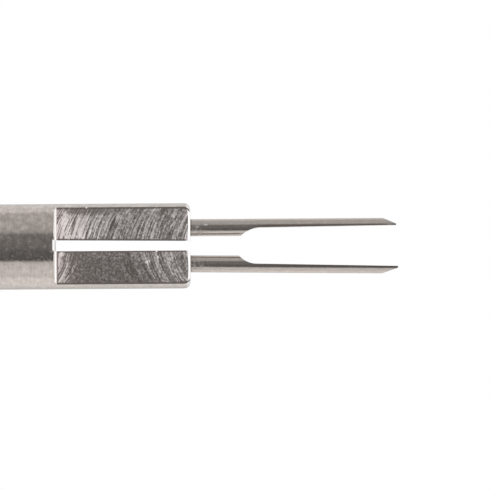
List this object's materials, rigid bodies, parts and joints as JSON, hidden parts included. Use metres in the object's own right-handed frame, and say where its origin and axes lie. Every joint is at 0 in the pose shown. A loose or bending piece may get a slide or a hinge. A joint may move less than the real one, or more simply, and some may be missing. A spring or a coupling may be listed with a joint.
{
  "type": "terminal extraction tool",
  "caption": "Fork-tipped steel tool for freeing terminals: a round shank, a flat slit head and two half-round ground prongs with bevelled tips.",
  "frame": {"origin": "centre of the flat butt of the shank", "axes": "+Z along the tool from its butt to its prong tips, X across the two prongs, Y square to the flats of the head; the left prong is at -X"},
  "size_m": [0.008, 0.008, 0.1001],
  "materials": {
    "body_steel": "satin turned shank, head flats ground with arched scratch marks",
    "prong_steel": "drawn bright steel, ground on the inner side and at the tip"
  },
  "bodies": {
    "root": {"body": "body_steel", "left_prong": "prong_steel", "right_prong": "prong_steel"}
  },
  "joints": []
}
